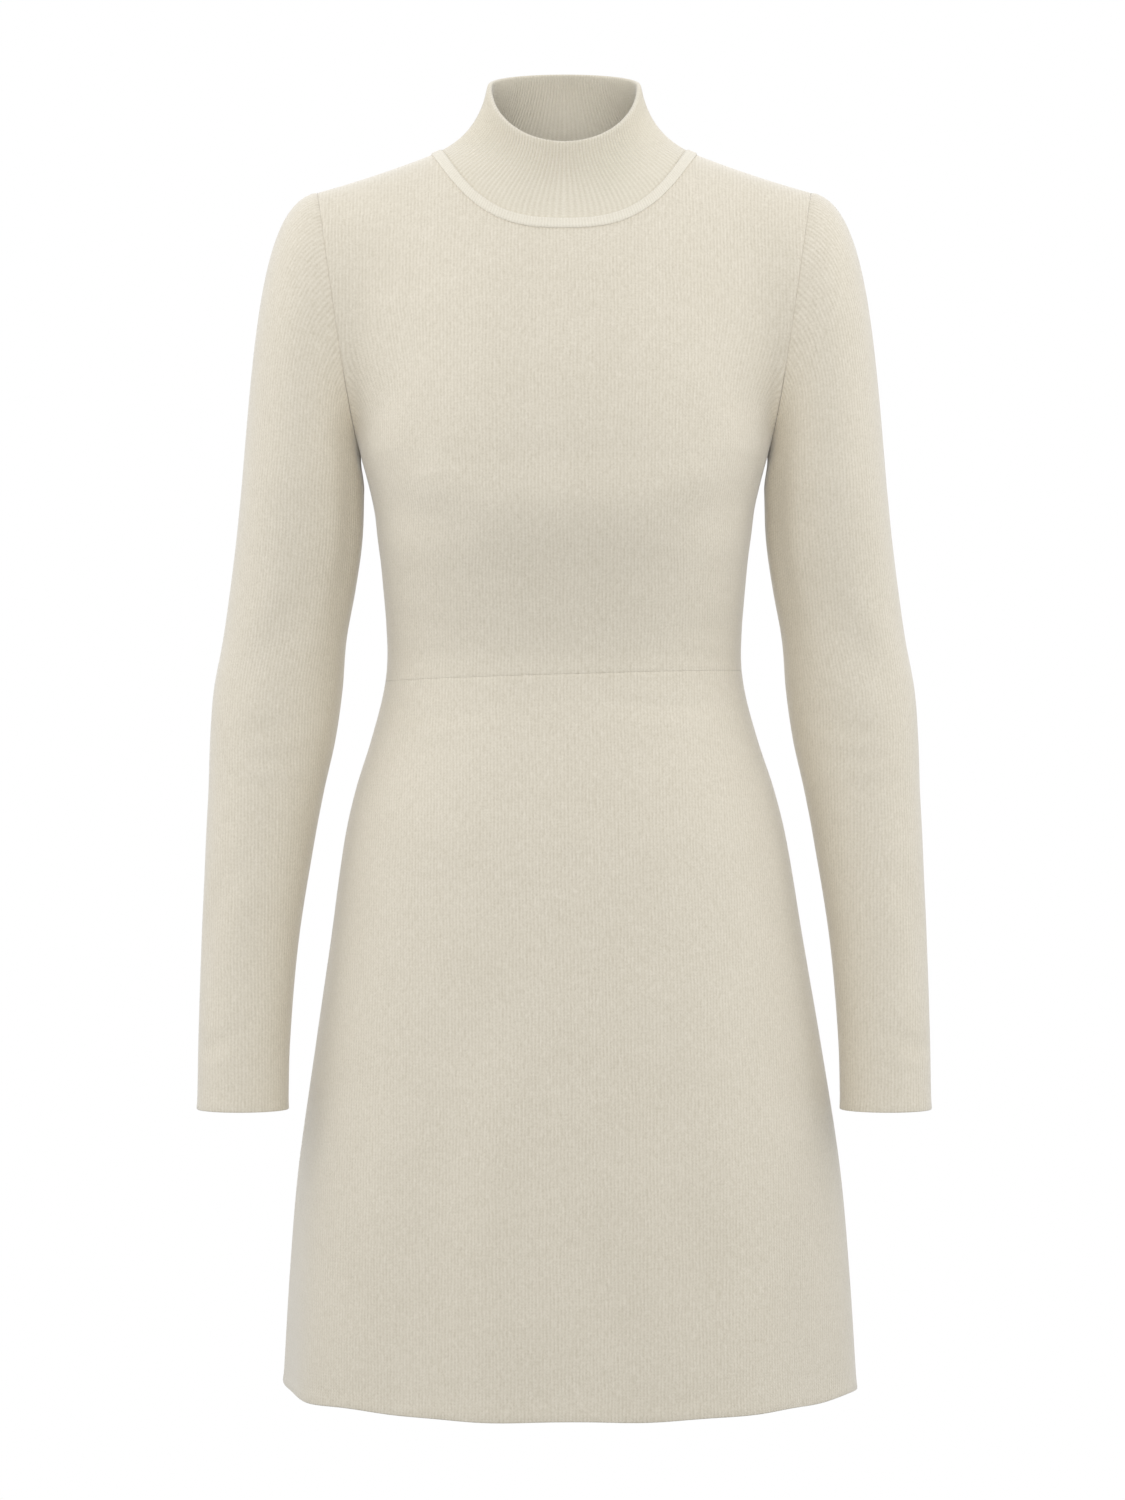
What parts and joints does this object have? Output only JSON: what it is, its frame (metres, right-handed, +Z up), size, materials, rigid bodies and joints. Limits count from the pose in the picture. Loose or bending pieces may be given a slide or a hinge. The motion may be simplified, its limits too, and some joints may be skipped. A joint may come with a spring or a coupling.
{
  "type": "sweater dress",
  "caption": "Knitted mini dress with a ribbed mock neck, long set-in sleeves, a waist seam and a flared skirt, filled out with no wearer.",
  "frame": {"origin": "between the two points where the shoulder seams meet the neck seam, where the wearer's shoulders hold the dress up", "axes": "+X to the wearer's left, -Y out of the front of the dress, +Z up towards the collar"},
  "size_m": [0.5076, 0.302, 0.927],
  "materials": {
    "knit_bodice_front": "matte fine-gauge knit, single layer, cream",
    "knit_bodice_back": "matte fine-gauge knit, single layer, cream",
    "knit_skirt_front": "matte fine-gauge knit, single layer, cream",
    "knit_skirt_back": "matte fine-gauge knit, single layer, cream",
    "knit_sleeve_left": "matte fine-gauge knit, single layer, cream",
    "knit_sleeve_right": "matte fine-gauge knit, single layer, cream",
    "knit_collar": "matte fine rib, folded double, pale cream",
    "knit_neck_trim": "matte linked band, pale cream"
  },
  "bodies": {
    "root": {"bodice_front": "knit_bodice_front", "bodice_back": "knit_bodice_back", "skirt_front": "knit_skirt_front", "skirt_back": "knit_skirt_back", "sleeve_left": "knit_sleeve_left", "sleeve_right": "knit_sleeve_right", "collar": "knit_collar", "neck_trim": "knit_neck_trim"}
  },
  "joints": []
}
